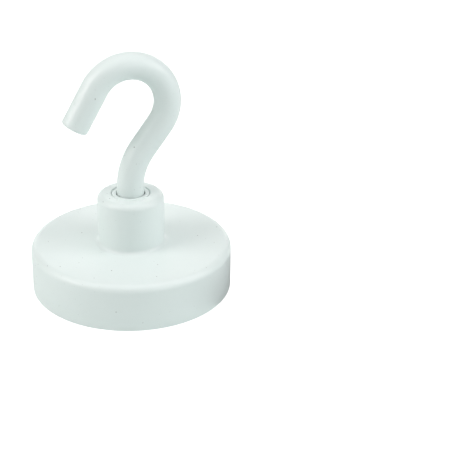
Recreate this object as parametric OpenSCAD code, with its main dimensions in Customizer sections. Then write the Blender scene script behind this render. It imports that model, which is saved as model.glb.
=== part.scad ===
// Magnetic swivel hook: a steel pot magnet whose hook turns freely in a bushed neck.
// The magnet's contact face is at z = 0 and the neck stands along +Z, in millimetres.
// The hook is bent in the XZ plane, and its mouth opens towards -X.

/* [Magnet] */
// Diameter of the magnet disc
magnet_d = 50; // [36:1:70]
// Thickness of the magnet disc
magnet_t = 7; // [5:0.5:10]
// Chamfer on both edges of the magnet
magnet_chamfer = 0.8; // [0.3:0.1:1.2]
// Depth of the magnet's face below the rim that touches the work
magnet_recess = 0.2; // [0.1:0.05:0.5]
// Thickness of the adhesive film behind the magnet
film_t = 0.15; // [0.1:0.05:0.3]

/* [Pot] */
// Wall of the pot's rim
rim_wall = 4; // [3:0.1:6]
// Gap between the magnet and the rim, filled with resin
resin_gap = 1; // [0.6:0.1:2]
// Depth of the resin below the rim
resin_depth = 1.2; // [1.1:0.1:2]
// Thickness of the pot's floor over the magnet
floor_t = 6.8; // [4:0.05:9]
// Radius of the pot's outer shoulder
shoulder_r = 2.2; // [1:0.1:3.5]
// Chamfer on the rim's inner edge
rim_chamfer = 0.6; // [0.2:0.1:1]
// Chamfer on the rim's outer edge
foot_chamfer = 0.1; // [0.1:0.1:0.6]

/* [Neck] */
// Height of the neck above the pot
neck_rise = 15.6; // [13:0.1:24]
// Wall of the neck around the nut chamber
neck_wall = 3.1; // [2.6:0.1:6]
// Radius of the neck's top edge
neck_round = 1.9; // [1:0.1:2.8]
// Radius of the fillet between the neck and the pot
neck_fillet = 1.2; // [0.6:0.1:2.5]
// Wall of the spigot that is pressed through the pot's floor
spigot_wall = 1.95; // [1.4:0.05:2.5]
// Width of the lip that is staked over behind the floor
stake_lip = 0.6; // [0.3:0.1:0.9]
// Thickness of the ledge that the thrust washer bears on
ledge_t = 2; // [1.5:0.1:3]

/* [Swivel] */
// Wall of the neck's bush
bush_wall = 1.5; // [1.2:0.1:2.2]
// Depth of the bush's end below the neck's top
bush_recess = 0.05; // [0.05:0.05:1]
// Radial running clearance of the shank in the bush
running_gap = 0.05; // [0.02:0.01:0.1]
// Radial clearance of the relief at the bush's mouth
mouth_gap = 0.3; // [0.2:0.1:0.8]
// Depth of the relief at the bush's mouth
mouth_depth = 2.2; // [1:0.1:4]
// Axial play of the swivel
end_play = 0.1; // [0.05:0.05:0.3]
// Thickness of the thrust washer
thrust_washer_t = 0.5; // [0.5:0.1:1.5]
// Thickness of the retaining washer
retaining_washer_t = 1.6; // [1:0.1:2.5]
// Thickness of the cover that keeps adhesive out of the nut chamber
cover_t = 0.6; // [0.4:0.1:1]

/* [Lock nut] */
// Diameter of the shank's threaded tail
tail_d = 6; // [5:0.5:7]
// Width of the lock nut across its flats
nut_flats = 10; // [9:0.5:13]
// Height of the lock nut's hexagon
nut_hex_h = 4.4; // [3:0.1:6]
// Height of the collar that holds the nylon insert
nut_collar_h = 1.6; // [1.4:0.1:2.5]

/* [Hook] */
// Diameter of the hook's rod
rod_d = 8; // [7.5:0.1:10]
// Height of the straight shank above the neck
shank_rise = 2; // [0.5:0.1:10]
// Centreline radius of the lower bend
lower_bend_r = 19.2; // [16:0.1:30]
// Turn of the lower bend, away from the hook's mouth
lower_bend_angle = 36.9; // [25:0.1:45]
// Straight length between the two bends
back_len = 9.1; // [2:0.1:20]
// Centreline radius of the crook
crook_r = 11.5; // [9:0.1:18]
// Turn of the crook
crook_angle = 187.2; // [150:0.1:200]
// Straight length of the nose
nose_len = 13; // [4:0.1:20]
// Radius of the nose's edge
nose_round = 0.8; // [0.3:0.1:2]

/* [Hidden] */
$fn = 96;

COAT = [0.90, 0.93, 0.92];
NICKEL = [0.33, 0.40, 0.42];
RESIN = [0.06, 0.07, 0.07];
ADHESIVE = [0.75, 0.70, 0.55];
ZINC = [0.72, 0.74, 0.76];
BRONZE = [0.72, 0.52, 0.30];
NYLON = [0.30, 0.45, 0.75];

RIGHT = 1;  // a bend towards +X
LEFT = -1;  // a bend towards -X

cut = 1;             // how far a cutting shape runs past the face it opens
shoulder_step = 0.3; // chamfer on the shank's shoulder and on the tail's end

// Pot and magnet
magnet_r = magnet_d / 2;
cavity_r = magnet_r + resin_gap;
pot_r = cavity_r + rim_wall;
magnet_top = magnet_recess + magnet_t;
cavity_top = magnet_top + film_t;
pot_h = cavity_top + floor_t;

// Lock nut and the chamber it turns in
tail_r = tail_d / 2;
nut_gap = 1.03; // radial clearance of the nut's corners in the chamber
nut_corner_r = nut_flats / 2 / cos(30);
chamber_r = nut_corner_r + nut_gap;
insert_wall = 0.8;
insert_lip = 0.3;
insert_r = tail_r + insert_wall;
collar_r = insert_r + 0.65;

// Heights of the swivel's stack, from the chamber's cover up
cover_top = cavity_top + cover_t;
tail_gap = 0.35; // clearance of the tail's end over the cover
nut_bottom = cover_top + tail_gap;
nut_hex_bottom = nut_bottom + nut_collar_h;
nut_top = nut_hex_bottom + nut_hex_h;
shoulder_z = nut_top + retaining_washer_t;
thrust_bottom = shoulder_z + end_play;
ledge_bottom = thrust_bottom + thrust_washer_t;
ledge_top = ledge_bottom + ledge_t;

// Neck
neck_r = chamber_r + neck_wall;
neck_top = pot_h + neck_rise;
spigot_r = chamber_r + spigot_wall;
stake_r = spigot_r + stake_lip;
cover_seat = 0.4; // width of the step that the cover rests on
cover_r = chamber_r + cover_seat;

// Shank, bush and washers
rod_r = rod_d / 2;
bush_bore_r = rod_r + running_gap;
bush_r = bush_bore_r + bush_wall;
bush_top = neck_top - bush_recess;
bush_edge = 0.3;     // rounding of the bush's visible end
bore_chamfer = 0.35; // chamfer at the mouth of the neck's bore
ledge_hole_r = rod_r + 0.3;
washer_r = chamber_r - 0.8;
thrust_bore_r = rod_r + 0.15;
retaining_bore_r = tail_r + 0.05;
bend_start = neck_top + shank_rise;
bend_draw = 0.02; // how much bending draws in the rod's radius
bend_tuck = 0.3;  // how far a bend's section runs on inside the straight rod

// A ring's cross-section: from radius r0 to r1 and from z0 to z1.
module band(r0, r1, z0, z1) {
    translate([r0, z0]) square([r1 - r0, z1 - z0]);
}

// The waste outside a rounded upper corner at radius r and height z.
module corner_waste(r, z, round_r) {
    difference() {
        translate([r - round_r, z - round_r]) square(round_r + cut);
        translate([r - round_r, z - round_r]) circle(round_r);
    }
}

// A right triangle at radius r and height z, for chamfers: its legs run by dr and dz.
module chamfer_waste(r, z, dr, dz) {
    polygon([[r, z], [r + dr, z], [r, z + dz]]);
}

// ---- Base ----

module pot() {
    color(COAT)
    rotate_extrude()
    difference() {
        band(spigot_r, pot_r, 0, pot_h);
        // magnet's cavity
        band(spigot_r - cut, cavity_r, -cut, cavity_top);
        corner_waste(pot_r, pot_h, shoulder_r);
        chamfer_waste(cavity_r, 0, rim_chamfer, rim_chamfer);
        chamfer_waste(pot_r, 0, -foot_chamfer, foot_chamfer);
        // countersink that the neck's lip is staked into
        chamfer_waste(spigot_r, cavity_top, stake_lip, stake_lip);
    }
}

module magnet() {
    color(NICKEL)
    rotate_extrude()
    difference() {
        band(0, magnet_r, magnet_recess, magnet_top);
        chamfer_waste(magnet_r, magnet_recess, -magnet_chamfer, magnet_chamfer);
        chamfer_waste(magnet_r, magnet_top, -magnet_chamfer, -magnet_chamfer);
    }
}

// Black resin that fills the gap around the magnet, up to its back edge.
module resin_ring() {
    color(RESIN)
    rotate_extrude()
    union() {
        band(magnet_r, cavity_r, resin_depth, cavity_top);
        chamfer_waste(magnet_r, magnet_top, -magnet_chamfer, -magnet_chamfer);
        band(magnet_r - magnet_chamfer, magnet_r, magnet_top, cavity_top);
    }
}

module adhesive_film() {
    color(ADHESIVE)
    translate([0, 0, magnet_top]) cylinder(r = magnet_r - magnet_chamfer, h = film_t);
}

// Neck: pressed through the pot's floor and staked over behind it.
module neck() {
    color(COAT)
    rotate_extrude()
    difference() {
        union() {
            band(0, spigot_r, cavity_top, pot_h);
            chamfer_waste(spigot_r, cavity_top, stake_lip, stake_lip);
            band(0, neck_r, pot_h, neck_top);
            // fillet onto the pot's top
            difference() {
                band(neck_r, neck_r + neck_fillet, pot_h, pot_h + neck_fillet);
                translate([neck_r + neck_fillet, pot_h + neck_fillet]) circle(neck_fillet);
            }
        }
        corner_waste(neck_r, neck_top, neck_round);
        // cover's seat, nut chamber, ledge hole and bush's bore
        band(0, cover_r, cavity_top - cut, cover_top);
        band(0, chamber_r, cavity_top, ledge_bottom);
        band(0, ledge_hole_r, cavity_top, neck_top);
        band(0, bush_r, ledge_top, neck_top + cut);
        chamfer_waste(bush_r, neck_top, bore_chamfer, -bore_chamfer);
    }
}

module chamber_cover() {
    color(ZINC)
    translate([0, 0, cavity_top]) cylinder(r = cover_r, h = cover_t);
}

// Bearing bush: its relieved mouth leaves the visible gap around the shank.
module neck_bush() {
    color(COAT)
    rotate_extrude()
    difference() {
        band(bush_bore_r, bush_r, ledge_top, bush_top);
        band(bush_bore_r - cut, rod_r + mouth_gap, bush_top - mouth_depth, bush_top + cut);
        corner_waste(bush_r, bush_top, bush_edge);
    }
}

module thrust_washer() {
    color(BRONZE)
    rotate_extrude()
    band(thrust_bore_r, washer_r, thrust_bottom, ledge_bottom);
}

// ---- Hook and what turns with it ----

// A round rod along +Z from the origin.
module rod(len) {
    cylinder(r = rod_r, h = len);
}

// A rod bent from +Z towards the given side, from the origin. Its thinner section
// is tucked a little way into the straight rods at both ends.
module bend(r, angle, side) {
    tuck_angle = bend_tuck / r * 180 / PI;
    rotate([0, 0, side == LEFT ? 180 : 0])
    translate([r, 0, 0])
    rotate([0, -tuck_angle, 0])
    rotate([90, 0, 180])
    rotate_extrude(angle = angle + 2 * tuck_angle)
    translate([r, 0]) circle(rod_r - bend_draw);
}

// Moves its children to the end of such a bend, so that +Z is the rod's new direction.
module past_bend(r, angle, side) {
    translate([side * r, 0, 0])
    rotate([0, side * angle, 0])
    translate([-side * r, 0, 0])
    children();
}

module past_rod(len) {
    translate([0, 0, len]) children();
}

// The shank turns in the bush and steps down to the threaded tail.
module shank() {
    rotate_extrude()
    difference() {
        union() {
            band(0, tail_r, nut_bottom, shoulder_z);
            band(0, rod_r, shoulder_z, bend_start);
        }
        chamfer_waste(rod_r, shoulder_z, -shoulder_step, shoulder_step);
        chamfer_waste(tail_r, nut_bottom, -shoulder_step, shoulder_step);
    }
}

module nose() {
    rotate_extrude()
    difference() {
        band(0, rod_r, 0, nose_len);
        corner_waste(rod_r, nose_len, nose_round);
    }
}

module hook() {
    color(COAT)
    union() {
        shank();
        past_rod(bend_start) {
            bend(lower_bend_r, lower_bend_angle, RIGHT);
            past_bend(lower_bend_r, lower_bend_angle, RIGHT) {
                rod(back_len);
                past_rod(back_len) {
                    bend(crook_r, crook_angle, LEFT);
                    past_bend(crook_r, crook_angle, LEFT) nose();
                }
            }
        }
    }
}

// Clamped between the shank's shoulder and the lock nut.
module retaining_washer() {
    color(ZINC)
    rotate_extrude()
    band(retaining_bore_r, washer_r, nut_top, shoulder_z);
}

module lock_nut() {
    color(ZINC)
    difference() {
        union() {
            translate([0, 0, nut_hex_bottom])
            cylinder(r = nut_corner_r, h = nut_hex_h, $fn = 6);
            translate([0, 0, nut_bottom]) cylinder(r = collar_r, h = nut_collar_h);
        }
        translate([0, 0, nut_bottom - cut])
        cylinder(r = tail_r, h = nut_top - nut_bottom + 2 * cut);
        // mouth and pocket of the nylon insert
        translate([0, 0, nut_bottom - cut]) cylinder(r = tail_r + insert_lip, h = 2 * cut);
        translate([0, 0, nut_bottom + insert_lip])
        cylinder(r = insert_r, h = nut_collar_h - insert_lip);
    }
}

module nut_insert() {
    color(NYLON)
    rotate_extrude()
    band(tail_r, insert_r, nut_bottom + insert_lip, nut_hex_bottom);
}

pot();
magnet();
resin_ring();
adhesive_film();
neck();
chamber_cover();
neck_bush();
thrust_washer();
hook();
retaining_washer();
lock_nut();
nut_insert();
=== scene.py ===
"""How a magnetic swivel hook looks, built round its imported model.

The pot, the neck, the bush and the hook carry a white powder coat. The pot's rim and the
magnet are dark grainy nickel with bright turned chamfers, and black resin fills the groove
between them. The swivel's washers, lock nut and cover are sealed in the neck.
"""
import math

import bmesh
import bpy
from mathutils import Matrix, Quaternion, Vector


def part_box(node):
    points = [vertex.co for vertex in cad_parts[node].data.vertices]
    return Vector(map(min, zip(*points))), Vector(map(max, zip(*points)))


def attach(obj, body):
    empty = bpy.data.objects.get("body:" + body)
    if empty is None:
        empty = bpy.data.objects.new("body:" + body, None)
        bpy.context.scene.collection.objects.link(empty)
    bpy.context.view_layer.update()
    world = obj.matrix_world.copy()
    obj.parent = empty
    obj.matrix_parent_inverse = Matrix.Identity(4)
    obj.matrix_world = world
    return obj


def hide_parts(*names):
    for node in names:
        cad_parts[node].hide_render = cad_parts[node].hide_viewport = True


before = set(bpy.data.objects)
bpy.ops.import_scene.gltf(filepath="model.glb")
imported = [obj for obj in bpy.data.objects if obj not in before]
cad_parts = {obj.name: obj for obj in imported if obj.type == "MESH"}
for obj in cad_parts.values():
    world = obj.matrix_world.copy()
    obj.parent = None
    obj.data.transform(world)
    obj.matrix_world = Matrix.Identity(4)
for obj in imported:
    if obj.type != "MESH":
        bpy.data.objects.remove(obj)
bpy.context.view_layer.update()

MM = 0.001

# ---- Sizes in millimetres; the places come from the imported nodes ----

SIDES = 256          # round a turned piece that shows
HIDDEN_SIDES = 144   # round a turned piece sealed inside

SHOULDER_ROUND = 2.2
FOOT_CHAMFER = 0.1
RIM_CHAMFER = 0.6
STAKE_LIP = 0.6
NECK_ROUND = 1.9
NECK_FILLET = 1.2
BORE_CHAMFER = 0.35
BUSH_EDGE = 0.3
SEAM_GAP = 0.06      # slit left between the neck and the bush at its mouth
SEAM_DEPTH = 1.2
MOUTH_GAP = 0.3
MOUTH_DEPTH = 2.2
RUNNING_GAP = 0.05
LEDGE_GAP = 0.3
WASHER_GAP = 0.8     # between the washers and the chamber's wall
SPIGOT_WALL = 1.95
THRUST_BORE_GAP = 0.15
RETAINING_BORE_GAP = 0.05
MAGNET_CHAMFER = 0.8
RESIN_SAG = 0.18     # how far the resin's surface dips between its edges
PAINT_EDGE = 0.08    # softening that the coat gives a sharp edge

SHANK_RISE = 2.0
LOWER_BEND_R = 19.2
LOWER_BEND_ANGLE = 36.9
BACK_LENGTH = 9.1
CROOK_R = 11.5
CROOK_ANGLE = 187.2
NOSE_LENGTH = 13.0
NOSE_ROUND = 0.8
NOSE_DOME = 0.06     # how far the nose's end swells under the coat
SHOULDER_STEP = 0.3
SHARP = 0.02         # length given to a sharp step in the rod

THREAD_PITCH = 1.0
THREAD_DEPTH = 0.6
THREAD_RUNOUT = 1.2
NUT_THREAD_DEPTH = 0.5
NUT_FLATS = 10.0
NUT_WALL = 0.8       # of the nylon insert
NUT_LIP = 0.3
NUT_CRIMP = 0.65     # wall of the collar round the insert
NUT_BEVEL = 0.5      # height of the turned bevel on the hexagon's corners
NUT_MOUTH = 0.2      # chamfer where the thread starts
HAIR = 0.01          # keeps a comparison clear of rounding, in millimetres


def span(node):
    """A node's outer radius and its lowest and highest point, in millimetres."""
    low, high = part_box(node)
    return high.y / MM, low.z / MM, high.z / MM


POT_R, POT_FOOT, POT_TOP = span("pot")
MAGNET_R, MAGNET_FACE, MAGNET_BACK = span("magnet")
CAVITY_R, RESIN_FACE, CAVITY_TOP = span("resin_ring")
FILM_R = span("adhesive_film")[0]
NECK_R = span("neck")[0] - NECK_FILLET
NECK_TOP = span("neck")[2]
COVER_R, COVER_BOTTOM, COVER_TOP = span("chamber_cover")
BUSH_R, BUSH_BOTTOM, BUSH_TOP = span("neck_bush")
WASHER_R = span("thrust_washer")[0]
LEDGE_BOTTOM = span("thrust_washer")[2]
ROD_R, TAIL_BOTTOM = span("hook")[:2]
NUT_TOP, SHANK_BOTTOM = span("retaining_washer")[1:]
NUT_BOTTOM = span("lock_nut")[1]
INSERT_R, INSERT_BOTTOM, NUT_HEX_BOTTOM = span("nut_insert")

TAIL_R = INSERT_R - NUT_WALL
CHAMBER_R = WASHER_R + WASHER_GAP
SPIGOT_R = CHAMBER_R + SPIGOT_WALL
BUSH_BORE_R = ROD_R + RUNNING_GAP


# ---- Node graphs ----

class Wire:
    """A value in a node graph that can be used in sums, as in 1 - mask * 0.4."""

    def __init__(self, graph, socket):
        self.graph = graph
        self.socket = socket

    def math(self, operation, *values, **settings):
        settings["operation"] = operation
        return self.graph.node("ShaderNodeMath", settings, dict(enumerate(values)))[0]

    def __add__(self, other):
        return self.math("ADD", self, other)

    def __sub__(self, other):
        return self.math("SUBTRACT", self, other)

    def __rsub__(self, other):
        return self.math("SUBTRACT", other, self)

    def __mul__(self, other):
        return self.math("MULTIPLY", self, other)

    def __truediv__(self, other):
        return self.math("DIVIDE", self, other)

    def __pow__(self, other):
        return self.math("POWER", self, other)

    def __lt__(self, other):
        return self.math("LESS_THAN", self, other)

    def __gt__(self, other):
        return self.math("GREATER_THAN", self, other)

    def least(self, other):
        return self.math("MINIMUM", self, other)

    def most(self, other):
        return self.math("MAXIMUM", self, other)

    def sine(self):
        return self.math("SINE", self)

    def zigzag(self, height):
        return self.math("PINGPONG", self, height)

    def step(self, low, high):
        """0 below low and 1 above high, with a smooth rise between them."""
        rise = self.graph.node("ShaderNodeMapRange", {"interpolation_type": "SMOOTHSTEP"},
                               {"Value": self, "From Min": low, "From Max": high})
        return rise["Result"]


class Outputs:
    """A node's outputs by name or by place, each as a Wire."""

    def __init__(self, graph, node):
        self.graph = graph
        self.node = node

    def __getitem__(self, key):
        return Wire(self.graph, self.node.outputs[key])


class Graph:
    """A shader or geometry tree that is built node by node."""

    def __init__(self, tree):
        self.tree = tree

    def node(self, kind, settings=None, sockets=None):
        node = self.tree.nodes.new(kind)
        for name, value in (settings or {}).items():
            setattr(node, name, value)
        for name, value in (sockets or {}).items():
            if isinstance(value, Wire):
                self.tree.links.new(value.socket, node.inputs[name])
            else:
                node.inputs[name].default_value = value
        return Outputs(self, node)


# ---- Finishes ----

class Finish(Graph):
    """A material's graph, with the textures that the finishes share."""

    def __init__(self, name):
        self.material = bpy.data.materials.new(name)
        self.material.use_nodes = True
        super().__init__(self.material.node_tree)
        self.tree.nodes.clear()
        self.place = self.node("ShaderNodeTexCoord")["Object"]

    def noise(self, size, detail=2.0, roughness=0.5, seed=0.0):
        """Soft blotches about size millimetres across, from 0 to 1."""
        shifted = self.node("ShaderNodeVectorMath", {"operation": "ADD"},
                            {0: self.place, 1: (seed, seed * 0.7, seed * 1.3)})["Vector"]
        return self.node("ShaderNodeTexNoise", None,
                         {"Vector": shifted, "Scale": 1 / (size * MM), "Detail": detail,
                          "Roughness": roughness})["Fac"]

    def specks(self, spacing, radius, share):
        """1 in small round specks, one in each of a share of cells spacing millimetres wide."""
        cells = self.node("ShaderNodeTexVoronoi", None,
                          {"Vector": self.place, "Scale": 1 / (spacing * MM)})
        draw = self.node("ShaderNodeSeparateColor", None, {"Color": cells["Color"]})
        chosen = draw["Red"] < share
        reach = (draw["Green"] * 0.7 + 0.3) * (radius / spacing)
        return chosen * (1 - (cells["Distance"] / reach).step(0.6, 1.0))

    def mix(self, amount, first, second):
        return self.node("ShaderNodeMix", {"data_type": "RGBA"},
                         {"Factor": amount, 6: first, 7: second})[2]

    def bump(self, height, depth, normal=None):
        """A bump of depth millimetres where height is 1, laid over an earlier one."""
        sockets = {"Height": height, "Distance": depth * MM, "Strength": 1.0}
        if normal is not None:
            sockets["Normal"] = normal
        return self.node("ShaderNodeBump", None, sockets)["Normal"]

    def surface(self, **sockets):
        named = {key.replace("_", " "): value for key, value in sockets.items()}
        shader = self.node("ShaderNodeBsdfPrincipled", None, named)["BSDF"]
        self.node("ShaderNodeOutputMaterial", None, {"Surface": shader})
        return self.material


def powder_coat():
    """Satin white powder coat: faint orange peel, slow waves, and a few specks of dust."""
    finish = Finish("powder_coat")
    tint = finish.noise(9.0, seed=0.1)
    specks = finish.specks(1.9, 0.22, 0.5)
    faint = finish.specks(1.2, 0.18, 0.5)
    clean = finish.mix(tint, (0.766, 0.852, 0.834, 1), (0.788, 0.868, 0.852, 1))
    dusted = finish.mix(faint * 0.25, clean, (0.45, 0.50, 0.48, 1))
    colour = finish.mix(specks * 0.8, dusted, (0.16, 0.18, 0.17, 1))
    peel = finish.noise(0.9, detail=1.0, seed=0.2)
    waves = finish.noise(6.0, detail=1.0, seed=0.3)
    normal = finish.bump(waves, 0.05)
    normal = finish.bump(peel, 0.006, normal)
    normal = finish.bump(1 - specks, 0.03, normal)
    return finish.surface(
        Base_Color=colour,
        Roughness=finish.noise(3.0, seed=0.4) * 0.08 + 0.27 + specks * 0.3,
        IOR=1.5,
        Normal=normal,
    )


def dark_nickel():
    """Dark nickel plate over a blasted face: fine grain with a slight blue-green cast."""
    finish = Finish("dark_nickel")
    grain = finish.noise(0.32, detail=3.0, roughness=0.65, seed=0.5)
    clouds = finish.noise(4.5, detail=2.0, seed=0.6)
    shade = (grain - 0.5) * 1.1 + (clouds - 0.5) * 0.35 + 0.5
    colour = finish.mix(shade, (0.040, 0.066, 0.071, 1), (0.110, 0.162, 0.168, 1))
    return finish.surface(
        Base_Color=colour,
        Metallic=0.55,
        Roughness=grain * 0.15 + 0.42,
        Normal=finish.bump(grain, 0.02),
    )


def bright_cut():
    """Bright turned steel, with rings left by the tool."""
    finish = Finish("bright_cut")
    axes = finish.node("ShaderNodeSeparateXYZ", None, {"Vector": finish.place})
    rings = (axes["Z"] * (2 * math.pi / (0.05 * MM))).sine()
    wear = finish.noise(1.2, seed=0.7)
    return finish.surface(
        Base_Color=finish.mix(wear, (0.78, 0.78, 0.74, 1), (0.90, 0.90, 0.87, 1)),
        Metallic=1.0,
        Roughness=wear * 0.12 + 0.16,
        Normal=finish.bump(rings * 0.5 + 0.5, 0.002),
    )


def black_resin():
    """Potting resin: black, with a soft skin and a few tiny pits."""
    finish = Finish("black_resin")
    pits = finish.specks(1.3, 0.16, 0.25)
    skin = finish.noise(2.0, seed=0.8)
    return finish.surface(
        Base_Color=finish.mix(skin, (0.010, 0.012, 0.012, 1), (0.022, 0.025, 0.024, 1)),
        Roughness=skin * 0.15 + 0.38,
        Normal=finish.bump(1 - pits, 0.04, finish.bump(skin, 0.03)),
    )


def metal(name, dark, light, roughness, grain_size):
    """A plain metal with cloudy plating and a fine grain."""
    finish = Finish(name)
    clouds = finish.noise(2.5, seed=0.9)
    grain = finish.noise(grain_size, detail=3.0, seed=1.0)
    return finish.surface(
        Base_Color=finish.mix(clouds, (*dark, 1), (*light, 1)),
        Metallic=1.0,
        Roughness=grain * 0.15 + roughness,
        Normal=finish.bump(grain, 0.004),
    )


def plastic(name, dark, light, roughness):
    """A plain polymer with a faint mottle."""
    finish = Finish(name)
    mottle = finish.noise(1.0, detail=3.0, seed=1.1)
    return finish.surface(
        Base_Color=finish.mix(mottle, (*dark, 1), (*light, 1)),
        Roughness=mottle * 0.1 + roughness,
        Normal=finish.bump(mottle, 0.01),
    )


COAT = powder_coat()
NICKEL = dark_nickel()
BRIGHT = bright_cut()
RESIN = black_resin()
ZINC = metal("zinc_plate", (0.55, 0.57, 0.60), (0.72, 0.74, 0.76), 0.24, 0.4)
STEEL = metal("bare_steel", (0.30, 0.31, 0.32), (0.45, 0.46, 0.47), 0.35, 0.5)
BRONZE = metal("bronze", (0.50, 0.31, 0.14), (0.66, 0.44, 0.22), 0.30, 0.35)
NYLON = plastic("blue_nylon", (0.06, 0.14, 0.42), (0.09, 0.19, 0.52), 0.4)
EPOXY = plastic("epoxy", (0.45, 0.38, 0.22), (0.55, 0.48, 0.30), 0.25)


# ---- Turned pieces ----

STEP = 1.0      # longest straight stretch of an outline, in millimetres
MARGIN = 0.06   # a close row beside each edge keeps flat faces flat in the light
ARC_STEP = 7.5  # degrees
SHARP_EDGE = 35  # degrees between two faces that are shaded apart


def rounded(corners):
    """Points of a closed outline with its corners rounded, each with the finish that follows it.

    A corner is (radius, height, rounding, finish), and the outline runs anticlockwise.
    """
    points = []
    count = len(corners)
    for i, (r, z, rounding, finish) in enumerate(corners):
        here = Vector((r, z))
        before = Vector(corners[i - 1][:2]) - here
        after = Vector(corners[(i + 1) % count][:2]) - here
        turn = before.angle(after)
        if rounding <= 0 or r <= 0:
            points.append((here, finish))
            continue
        reach = rounding / math.tan(turn / 2)
        centre = here + (before.normalized() + after.normalized()).normalized() * (
            rounding / math.sin(turn / 2))
        start = here + before.normalized() * reach - centre
        end = here + after.normalized() * reach - centre
        steps = max(2, round(math.degrees(math.pi - turn) / ARC_STEP))
        for k in range(steps + 1):
            points.append((centre + start.slerp(end, k / steps) * rounding, finish))
    return points


def spaced(points, step):
    """The outline's points with its straight stretches divided, and a close row at each end."""
    result = []
    for i, (start, finish) in enumerate(points):
        end = points[(i + 1) % len(points)][0]
        result.append((start, finish))
        length = (end - start).length
        if max(start.x, end.x) <= 0 or length < 4 * MARGIN:
            continue
        inner = length - 2 * MARGIN
        pieces = max(1, math.ceil(inner / step))
        for k in range(pieces + 1):
            share = (MARGIN + inner * k / pieces) / length
            result.append((start.lerp(end, share), finish))
    return result


def turned(name, corners, sides=SIDES, reshape=None, step=STEP):
    """A solid turned about the Z axis. reshape(radius, height, angle) may change each radius."""
    outline = spaced(rounded(corners), step)
    finishes = list(dict.fromkeys(finish for _, finish in outline))
    mesh = bmesh.new()
    rows = []
    for point, _ in outline:
        row = []
        for k in range(sides if point.x > 0 else 1):
            angle = 2 * math.pi * k / sides
            r = reshape(point.x, point.y, angle) if reshape else point.x
            row.append(mesh.verts.new((r * MM * math.cos(angle), r * MM * math.sin(angle),
                                       point.y * MM)))
        rows.append(row)
    for i, (_, finish) in enumerate(outline):
        lower, upper = rows[i], rows[(i + 1) % len(rows)]
        if len(lower) == 1 and len(upper) == 1:
            continue
        for k in range(sides):
            a, b = lower[k % len(lower)], lower[(k + 1) % len(lower)]
            c, d = upper[(k + 1) % len(upper)], upper[k % len(upper)]
            corners_of_face = list(dict.fromkeys((a, b, c, d)))
            face = mesh.faces.new(corners_of_face)
            face.material_index = finishes.index(finish)
    return finished(name, mesh, finishes)


def finished(name, mesh, finishes):
    """A shaded object made from a bmesh, with its faces pointing outwards."""
    bmesh.ops.remove_doubles(mesh, verts=mesh.verts, dist=1e-7)
    bmesh.ops.recalc_face_normals(mesh, faces=mesh.faces)
    data = bpy.data.meshes.new(name)
    mesh.to_mesh(data)
    mesh.free()
    return shaded(name, data, finishes)


def shaded(name, data, finishes=()):
    for finish in finishes:
        data.materials.append(finish)
    data.shade_smooth()
    data.set_sharp_from_angle(angle=math.radians(SHARP_EDGE))
    piece = bpy.data.objects.new(name, data)
    bpy.context.scene.collection.objects.link(piece)
    return piece


def stand_for(piece, node, body):
    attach(piece, body)
    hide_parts(node)


def pot_shell():
    """Cup with a coated outside, a ground nickel rim and a bright chamfer inside it."""
    corners = [
        (SPIGOT_R + STAKE_LIP, CAVITY_TOP, 0, STEEL),
        (CAVITY_R, CAVITY_TOP, 0, NICKEL),
        (CAVITY_R, RIM_CHAMFER, 0.05, BRIGHT),
        (CAVITY_R + RIM_CHAMFER, POT_FOOT, 0.05, NICKEL),
        (POT_R - FOOT_CHAMFER, POT_FOOT, 0.04, COAT),
        (POT_R, POT_FOOT + FOOT_CHAMFER, 0.08, COAT),
        (POT_R, POT_TOP, SHOULDER_ROUND, COAT),
        (SPIGOT_R, POT_TOP, 0, STEEL),
        (SPIGOT_R, CAVITY_TOP + STAKE_LIP, 0, STEEL),
    ]
    stand_for(turned("pot_shell", corners), "pot", "base")


def magnet_disc():
    corners = [
        (0, MAGNET_FACE, 0, NICKEL),
        (MAGNET_R - MAGNET_CHAMFER, MAGNET_FACE, 0.1, BRIGHT),
        (MAGNET_R, MAGNET_FACE + MAGNET_CHAMFER, 0.1, NICKEL),
        (MAGNET_R, MAGNET_BACK - MAGNET_CHAMFER, 0.1, NICKEL),
        (MAGNET_R - MAGNET_CHAMFER, MAGNET_BACK, 0.1, NICKEL),
        (0, MAGNET_BACK, 0, NICKEL),
    ]
    stand_for(turned("magnet_disc", corners), "magnet", "base")


def resin_fill():
    """Resin whose open surface climbs a little at both walls."""
    middle = (MAGNET_R + CAVITY_R) / 2
    corners = [
        (MAGNET_R, RESIN_FACE, 0, RESIN),
        (middle, RESIN_FACE + RESIN_SAG, 1.2, RESIN),
        (CAVITY_R, RESIN_FACE, 0, RESIN),
        (CAVITY_R, CAVITY_TOP, 0, RESIN),
        (FILM_R, CAVITY_TOP, 0, RESIN),
        (FILM_R, MAGNET_BACK, 0, RESIN),
        (MAGNET_R, MAGNET_BACK - MAGNET_CHAMFER, 0, RESIN),
    ]
    stand_for(turned("resin_fill", corners, HIDDEN_SIDES), "resin_ring", "base")


def glue_film():
    corners = [
        (0, MAGNET_BACK, 0, EPOXY),
        (FILM_R, MAGNET_BACK, 0, EPOXY),
        (FILM_R, CAVITY_TOP, 0, EPOXY),
        (0, CAVITY_TOP, 0, EPOXY),
    ]
    stand_for(turned("glue_film", corners, HIDDEN_SIDES), "adhesive_film", "base")


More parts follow.
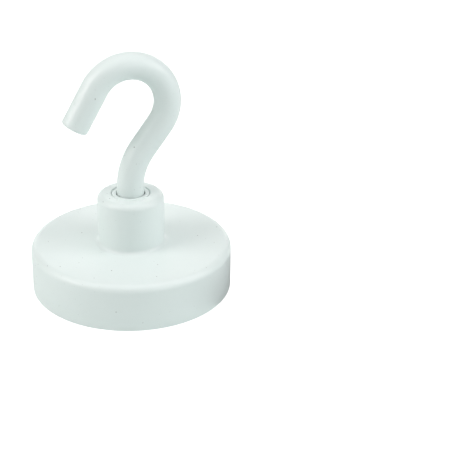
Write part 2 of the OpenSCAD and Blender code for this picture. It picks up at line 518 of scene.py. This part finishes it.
def neck_collar():
    """Collar with a coated outside and a bare chamber, staked behind the pot's floor."""
    corners = [
        (COVER_R, CAVITY_TOP, 0, STEEL),
        (SPIGOT_R + STAKE_LIP, CAVITY_TOP, 0, STEEL),
        (SPIGOT_R, CAVITY_TOP + STAKE_LIP, 0, STEEL),
        (SPIGOT_R, POT_TOP, 0, STEEL),
        (NECK_R + NECK_FILLET, POT_TOP, 0, COAT),
        (NECK_R, POT_TOP, NECK_FILLET, COAT),
        (NECK_R, NECK_TOP, NECK_ROUND, COAT),
        (BUSH_R + BORE_CHAMFER, NECK_TOP, 0.2, COAT),
        (BUSH_R + SEAM_GAP, NECK_TOP - BORE_CHAMFER, PAINT_EDGE, STEEL),
        (BUSH_R + SEAM_GAP, NECK_TOP - SEAM_DEPTH, 0, STEEL),
        (BUSH_R, NECK_TOP - SEAM_DEPTH, 0, STEEL),
        (BUSH_R, BUSH_BOTTOM, 0, STEEL),
        (ROD_R + LEDGE_GAP, BUSH_BOTTOM, 0, STEEL),
        (ROD_R + LEDGE_GAP, LEDGE_BOTTOM, 0, STEEL),
        (CHAMBER_R, LEDGE_BOTTOM, 0, STEEL),
        (CHAMBER_R, COVER_TOP, 0, STEEL),
        (COVER_R, COVER_TOP, 0, STEEL),
    ]
    stand_for(turned("neck_collar", corners), "neck", "base")


def bush_ring():
    corners = [
        (BUSH_BORE_R, BUSH_BOTTOM, 0.1, STEEL),
        (BUSH_R, BUSH_BOTTOM, 0.1, COAT),
        (BUSH_R, BUSH_TOP, BUSH_EDGE, COAT),
        (ROD_R + MOUTH_GAP, BUSH_TOP, 0.15, COAT),
        (ROD_R + MOUTH_GAP, BUSH_TOP - MOUTH_DEPTH, 0, STEEL),
        (BUSH_BORE_R, BUSH_TOP - MOUTH_DEPTH, 0, STEEL),
    ]
    stand_for(turned("bush_ring", corners), "neck_bush", "base")


def cover_disc():
    corners = [
        (0, COVER_BOTTOM, 0, ZINC),
        (COVER_R, COVER_BOTTOM, 0.2, ZINC),
        (COVER_R, COVER_TOP, 0.1, ZINC),
        (0, COVER_TOP, 0, ZINC),
    ]
    stand_for(turned("cover_disc", corners, HIDDEN_SIDES), "chamber_cover", "base")


def washer(name, node, body, finish, bore, edge):
    """A punched washer, rounded on the side the punch came from."""
    outer, low, high = span(node)
    corners = [
        (bore, low, edge / 3, finish),
        (outer, low, edge / 3, finish),
        (outer, high, edge, finish),
        (bore, high, edge, finish),
    ]
    stand_for(turned(name, corners, HIDDEN_SIDES), node, body)


def nut_shape(radius, height, angle):
    """The nut's radius with six flats round its hexagon and a thread in its bore."""
    if radius < TAIL_R + HAIR:
        phase = height / THREAD_PITCH - angle / (2 * math.pi)
        ramp = 1 - abs(2 * (phase % 1) - 1)
        return radius - NUT_THREAD_DEPTH * min(1, max(0, 1.25 * ramp - 0.125))
    if height < NUT_HEX_BOTTOM + HAIR:
        return radius
    corner = math.pi / 3
    return min(radius, NUT_FLATS / 2 / math.cos(angle % corner - corner / 2))


def lock_nut():
    """Hexagon nut with turned corners, and a collar crimped over its insert."""
    corner_r = NUT_FLATS / 2 / math.cos(math.radians(30))
    collar_r = INSERT_R + NUT_CRIMP
    bevel_r = NUT_FLATS / 2 - 0.1
    corners = [
        (TAIL_R + NUT_LIP, NUT_BOTTOM, 0.1, ZINC),
        (collar_r, NUT_BOTTOM, 0.5, ZINC),
        (collar_r, NUT_HEX_BOTTOM + 2 * HAIR, 0, ZINC),
        (bevel_r, NUT_HEX_BOTTOM + 2 * HAIR, 0, ZINC),
        (corner_r, NUT_HEX_BOTTOM + NUT_BEVEL, 0.1, ZINC),
        (corner_r, NUT_TOP - NUT_BEVEL, 0.1, ZINC),
        (bevel_r, NUT_TOP, 0, ZINC),
        (TAIL_R + NUT_MOUTH, NUT_TOP, 0, ZINC),
        (TAIL_R, NUT_TOP - NUT_MOUTH, 0, ZINC),
        (TAIL_R, NUT_HEX_BOTTOM, 0, ZINC),
        (INSERT_R, NUT_HEX_BOTTOM, 0, ZINC),
        (INSERT_R, INSERT_BOTTOM, 0, ZINC),
        (TAIL_R + NUT_LIP, INSERT_BOTTOM, 0, ZINC),
    ]
    piece = turned("lock_nut_hex", corners, HIDDEN_SIDES, nut_shape, THREAD_PITCH / 12)
    stand_for(piece, "lock_nut", "swivel")


def nylon_ring():
    corners = [
        (TAIL_R, INSERT_BOTTOM, 0.15, NYLON),
        (INSERT_R, INSERT_BOTTOM, 0.1, NYLON),
        (INSERT_R, NUT_HEX_BOTTOM, 0, NYLON),
        (TAIL_R, NUT_HEX_BOTTOM, 0, NYLON),
    ]
    stand_for(turned("nylon_ring", corners, HIDDEN_SIDES), "nut_insert", "swivel")


# ---- The hook ----

def quarter_turn(length, count):
    """Moves that shorten towards an end, as equal turns round a quarter circle need."""
    heights = [length * math.sin(math.pi / 2 * k / count) for k in range(count + 1)]
    return [(upper - lower, 0.0) for lower, upper in zip(heights, heights[1:])]


def hook_line():
    """The bent rod's centre line from the tail's end to the nose, in millimetres."""
    def straight(length, step):
        count = max(1, round(length / step))
        return [(length / count, 0.0)] * count

    def bend(radius, angle, side):
        count = max(1, round(radius * math.radians(angle) / 0.4))
        return [(radius * math.radians(angle) / count, side * math.radians(angle) / count)] * count

    moves = (
        straight(SHANK_BOTTOM - TAIL_BOTTOM - SHARP, THREAD_PITCH / 12)
        + straight(SHARP, SHARP)
        + straight(SHOULDER_STEP, 0.1)
        + straight(NECK_TOP + SHANK_RISE - SHANK_BOTTOM - SHOULDER_STEP, 0.5)
        + bend(LOWER_BEND_R, LOWER_BEND_ANGLE, 1)
        + straight(BACK_LENGTH, 0.4)
        + bend(CROOK_R, CROOK_ANGLE, -1)
        + straight(NOSE_LENGTH - NOSE_ROUND, 0.4)
        + quarter_turn(NOSE_ROUND - NOSE_DOME, 10)
        + quarter_turn(NOSE_DOME, 6)
    )
    x, z, heading = 0.0, TAIL_BOTTOM, 0.0
    line = [Vector((x, 0, z))]
    for length, turn in moves:
        chord = length if turn == 0 else 2 * length / turn * math.sin(turn / 2)
        x += chord * math.sin(heading + turn / 2)
        z += chord * math.cos(heading + turn / 2)
        heading += turn
        line.append(Vector((x, 0, z)))
    return line


def bent_rod_tree():
    """Sweeps a rod along a line, cuts its thread and rounds its nose."""
    tree = bpy.data.node_groups.new("bent_rod", "GeometryNodeTree")
    face = tree.interface
    face.new_socket("Line", in_out="INPUT", socket_type="NodeSocketGeometry")
    sizes = ("Rod Radius", "Tail Radius", "Tail Length", "Shoulder Step", "Nose Round",
             "Nose Dome", "Thread Pitch", "Thread Depth", "Thread Runout", "Film Waves",
             "Tail Bottom", "Film Start")
    for name in sizes:
        face.new_socket(name, in_out="INPUT", socket_type="NodeSocketFloat")
    face.new_socket("Sides", in_out="INPUT", socket_type="NodeSocketInt")
    face.new_socket("Coat", in_out="INPUT", socket_type="NodeSocketMaterial")
    face.new_socket("Tail Finish", in_out="INPUT", socket_type="NodeSocketMaterial")
    face.new_socket("Rod", in_out="OUTPUT", socket_type="NodeSocketGeometry")

    graph = Graph(tree)
    given = graph.node("NodeGroupInput")
    rod, tail, tail_length = (given[name] for name in sizes[:3])
    line = graph.node("GeometryNodeMeshToCurve", None, {"Mesh": given["Line"]})["Curve"]
    along = graph.node("GeometryNodeSplineParameter")["Length"]
    left = graph.node("GeometryNodeSplineLength")["Length"] - along
    in_tail = along < tail_length - SHARP * MM / 2
    plain = rod - (rod - tail) * in_tail
    chamfer = (given["Shoulder Step"] - (along - tail_length).most(0)) * (1 - in_tail)
    tail_end = given["Shoulder Step"] - along
    nose_round, dome = given["Nose Round"], given["Nose Dome"]
    in_nose = (nose_round - left).most(0)
    nose_cut = nose_round - (nose_round ** 2 - in_nose ** 2).most(0) ** 0.5
    in_dome = (1 - left / dome).most(0)
    flat_left = (1 - in_dome ** 2).most(0) ** 0.5
    radius = (plain - chamfer.most(0) - tail_end.most(0) - nose_cut) * flat_left
    ring = graph.node("GeometryNodeCurvePrimitiveCircle", {"mode": "RADIUS"},
                      {"Resolution": given["Sides"], "Radius": 1.0})["Curve"]
    swept = graph.node("GeometryNodeCurveToMesh", None,
                       {"Curve": line, "Profile Curve": ring, "Scale": radius,
                        "Fill Caps": True})

    position = graph.node("GeometryNodeInputPosition")["Position"]
    axes = graph.node("ShaderNodeSeparateXYZ", None, {"Vector": position})
    turn = axes["Y"].math("ARCTAN2", axes["Y"], axes["X"]) / (2 * math.pi)
    phase = axes["Z"] / given["Thread Pitch"] - turn
    wave = phase.zigzag(0.5) * 2
    groove = (wave * 1.25 - 0.125).most(0).least(1)
    height = axes["Z"] - given["Tail Bottom"]
    fade_out = (tail_length - height) / given["Thread Runout"]
    fade = (height / given["Shoulder Step"]).least(1) * fade_out.most(0).least(1)
    radial = graph.node("ShaderNodeCombineXYZ", None, {"X": axes["X"], "Y": axes["Y"]})["Vector"]
    outwards = graph.node("ShaderNodeVectorMath", {"operation": "NORMALIZE"}, {0: radial})["Vector"]
    cut = graph.node("ShaderNodeVectorMath", {"operation": "SCALE"},
                     {0: outwards, "Scale": groove * fade * given["Thread Depth"] * -1})["Vector"]
    is_tail = height < tail_length - SHARP * MM / 2
    threaded = graph.node("GeometryNodeSetPosition", None,
                          {"Geometry": swept["Mesh"], "Selection": is_tail, "Offset": cut})

    normal = graph.node("GeometryNodeInputNormal")["Normal"]
    film = graph.node("ShaderNodeTexNoise", None, {"Vector": position, "Scale": 1 / (5 * MM),
                                                   "Detail": 1.0})["Fac"]
    swell = graph.node("ShaderNodeVectorMath", {"operation": "SCALE"},
                       {0: normal, "Scale": (film - 0.5) * given["Film Waves"]})["Vector"]
    above = axes["Z"] > given["Film Start"]
    coated = graph.node("GeometryNodeSetPosition", None,
                        {"Geometry": threaded["Geometry"], "Selection": above, "Offset": swell})

    whole = graph.node("GeometryNodeRealizeInstances", None, {"Geometry": coated["Geometry"]})
    painted = graph.node("GeometryNodeSetMaterial", None,
                         {"Geometry": whole["Geometry"], "Material": given["Coat"]})
    zinced = graph.node("GeometryNodeSetMaterial", None,
                        {"Geometry": painted["Geometry"], "Selection": is_tail,
                         "Material": given["Tail Finish"]})
    graph.node("NodeGroupOutput", None, {"Rod": zinced["Geometry"]})
    return tree


def grown(name, points, tree, **sizes):
    """The plain mesh that a geometry tree makes from a line of points in millimetres."""
    line = bpy.data.meshes.new(name + "_line")
    line.from_pydata([point * MM for point in points],
                     [(k, k + 1) for k in range(len(points) - 1)], [])
    carrier = bpy.data.objects.new(name + "_line", line)
    bpy.context.scene.collection.objects.link(carrier)
    modifier = carrier.modifiers.new(tree.name, "NODES")
    modifier.node_group = tree
    for item in tree.interface.items_tree:
        key = item.name.lower().replace(" ", "_")
        if key in sizes:
            modifier[item.identifier] = sizes[key]
    evaluated = carrier.evaluated_get(bpy.context.evaluated_depsgraph_get())
    data = bpy.data.meshes.new_from_object(evaluated)
    bpy.data.objects.remove(carrier)
    mesh = bmesh.new()
    mesh.from_mesh(data)
    return finished(name, mesh, list(data.materials))


def hook_rod():
    piece = grown(
        "hook_rod", hook_line(), bent_rod_tree(),
        rod_radius=ROD_R * MM,
        tail_radius=TAIL_R * MM,
        tail_length=(SHANK_BOTTOM - TAIL_BOTTOM) * MM,
        shoulder_step=SHOULDER_STEP * MM,
        nose_round=NOSE_ROUND * MM,
        nose_dome=NOSE_DOME * MM,
        thread_pitch=THREAD_PITCH * MM,
        thread_depth=THREAD_DEPTH * MM,
        thread_runout=THREAD_RUNOUT * MM,
        film_waves=0.03 * MM,
        tail_bottom=TAIL_BOTTOM * MM,
        film_start=(NECK_TOP + 0.5) * MM,
        sides=96,
        coat=COAT,
        tail_finish=ZINC,
    )
    stand_for(piece, "hook", "swivel")


# ---- Studio ----

CAMERA_AZIMUTH = -16.0
CAMERA_ELEVATION = 23.73
CAMERA_DISTANCE = 355.4
CAMERA_PIVOT = (0.0, 0.0, 35.0)
CAMERA_AIM = (24.36, -15.0, 22.13)
CAMERA_ROLL = 0.98
LENS = 96.28

FLAG_REACH = (0.026, 0.046)    # how far the dark cloth lies to the right, in metres
FLAG_DEPTH = (-0.035, 0.015)   # and from how far in front of the pot to how far behind
FLOOR_HALF = 3.0
CARD_DROP = 0.0001             # how far the bounce card lies under the floor
CLOTH_DROP = 0.00005           # the dark cloth lies between them
LAMP_DISTANCE = 0.8
LAMP_TARGET = (0, 0, 0.03)
LAMPS = (
    # name, azimuth, elevation, width in metres, power in watts, colour
    ("overhead", 0, 88, 1.2, 5.43, (0.98, 1.00, 0.99)),
    ("left_fill", -90, 32, 0.5, 3.47, (1.00, 0.93, 0.93)),
    ("right_fill", 60, 32, 0.5, 2.52, (1.00, 0.92, 0.94)),
    ("front_spot", 20, 20, 0.2, 0.87, (0.93, 1.00, 0.99)),
    ("right_low", 60, 8, 0.5, 0.72, (0.90, 1.00, 0.99)),
    ("right_rear", 150, 8, 0.5, 1.15, (1.00, 0.98, 0.96)),
    ("left_rear", -120, 8, 0.5, 0.96, (0.90, 1.00, 0.93)),
    ("rear", 180, 8, 0.5, 0.98, (0.96, 0.99, 1.00)),
)


def compass(azimuth, elevation):
    """A unit vector: azimuth 0 points along -Y and 90 along +X."""
    a, e = math.radians(azimuth), math.radians(elevation)
    return Vector((math.sin(a) * math.cos(e), -math.cos(a) * math.cos(e), math.sin(e)))


def add_camera():
    data = bpy.data.cameras.new("camera")
    data.lens = LENS
    camera = bpy.data.objects.new("camera", data)
    bpy.context.scene.collection.objects.link(camera)
    back = compass(CAMERA_AZIMUTH, CAMERA_ELEVATION) * CAMERA_DISTANCE
    camera.location = (Vector(CAMERA_PIVOT) + back) * MM
    upright = (Vector(CAMERA_AIM) * MM - camera.location).to_track_quat("-Z", "Y")
    camera.rotation_mode = "QUATERNION"
    camera.rotation_quaternion = upright @ Quaternion((0, 0, 1), math.radians(CAMERA_ROLL))
    bpy.context.scene.camera = camera


def softbox(name, azimuth, elevation, width, power, colour):
    """A square lamp that faces the middle of the object."""
    data = bpy.data.lights.new(name, "AREA")
    data.shape = "SQUARE"
    data.size = width
    data.energy = power
    data.color = colour
    lamp = bpy.data.objects.new(name, data)
    bpy.context.scene.collection.objects.link(lamp)
    centre = Vector(LAMP_TARGET)
    lamp.location = centre + compass(azimuth, elevation) * LAMP_DISTANCE
    lamp.rotation_mode = "QUATERNION"
    lamp.rotation_quaternion = (centre - lamp.location).to_track_quat("-Z", "Y")


def level(height):
    """Corners of a wide level sheet at a height in metres."""
    half = FLOOR_HALF
    return [(-half, -half, height), (half, -half, height), (half, half, height),
            (-half, half, height)]


def sheet(name, corners, finish):
    """A thin sheet of the studio, between four corners in metres."""
    data = bpy.data.meshes.new(name)
    data.from_pydata(corners, [], [(0, 1, 2, 3)])
    data.materials.append(finish)
    thing = bpy.data.objects.new(name, data)
    bpy.context.scene.collection.objects.link(thing)
    return thing


def pale_floor():
    finish = Finish("pale_floor")
    haze = finish.noise(60.0)
    return finish.surface(
        Base_Color=finish.mix(haze, (0.34, 0.34, 0.34, 1), (0.36, 0.36, 0.36, 1)),
        Roughness=1.0,
        Specular_IOR_Level=0.0,
        Emission_Color=(1, 1, 1, 1),
        Emission_Strength=1.0,
    )


def grey_card():
    finish = Finish("grey_card")
    haze = finish.noise(60.0)
    return finish.surface(
        Base_Color=finish.mix(haze, (0.68, 0.73, 0.72, 1), (0.72, 0.77, 0.76, 1)),
        Roughness=1.0,
        Specular_IOR_Level=0.0,
        Emission_Color=(1, 1, 1, 1),
        Emission_Strength=0.08,
    )


def dark_cloth():
    finish = Finish("dark_cloth")
    weave = finish.noise(1.5)
    return finish.surface(
        Base_Color=finish.mix(weave, (0.18, 0.19, 0.19, 1), (0.21, 0.22, 0.22, 1)),
        Roughness=1.0,
        Specular_IOR_Level=0.0,
    )


def flag_corners():
    """A dark cloth on the floor, to the camera's right of the pot."""
    right = compass(CAMERA_AZIMUTH + 90, 0)
    away = compass(CAMERA_AZIMUTH + 180, 0)
    near, far = FLAG_REACH
    front, back = FLAG_DEPTH
    corners = [(near, front), (far, front), (far, back), (near, back)]
    drop = Vector((0, 0, -CLOTH_DROP))
    return [right * across + away * along + drop for across, along in corners]


def studio():
    """A white room for the camera, a grey card and a dark cloth on the floor, and softboxes."""
    bpy.context.scene.view_settings.view_transform = "Standard"
    world = bpy.data.worlds.new("white_room")
    bpy.context.scene.world = world
    world.use_nodes = True
    world.node_tree.nodes["Background"].inputs["Color"].default_value = (1, 1, 1, 1)
    world.cycles_visibility.diffuse = False
    world.cycles_visibility.glossy = False

    floor = sheet("floor", level(0.0), pale_floor())
    floor.visible_diffuse = False
    floor.visible_glossy = False
    floor.visible_shadow = False
    bounce = sheet("bounce_card", level(-CARD_DROP), grey_card())
    bounce.visible_camera = False
    flag = sheet("dark_flag", flag_corners(), dark_cloth())
    flag.visible_camera = False

    for lamp in LAMPS:
        softbox(*lamp)


add_camera()
studio()
pot_shell()
magnet_disc()
resin_fill()
glue_film()
neck_collar()
bush_ring()
cover_disc()
washer("thrust_ring", "thrust_washer", "base", BRONZE, ROD_R + THRUST_BORE_GAP, 0.1)
washer("retaining_ring", "retaining_washer", "swivel", ZINC, TAIL_R + RETAINING_BORE_GAP,
       0.25)
lock_nut()
nylon_ring()
hook_rod()
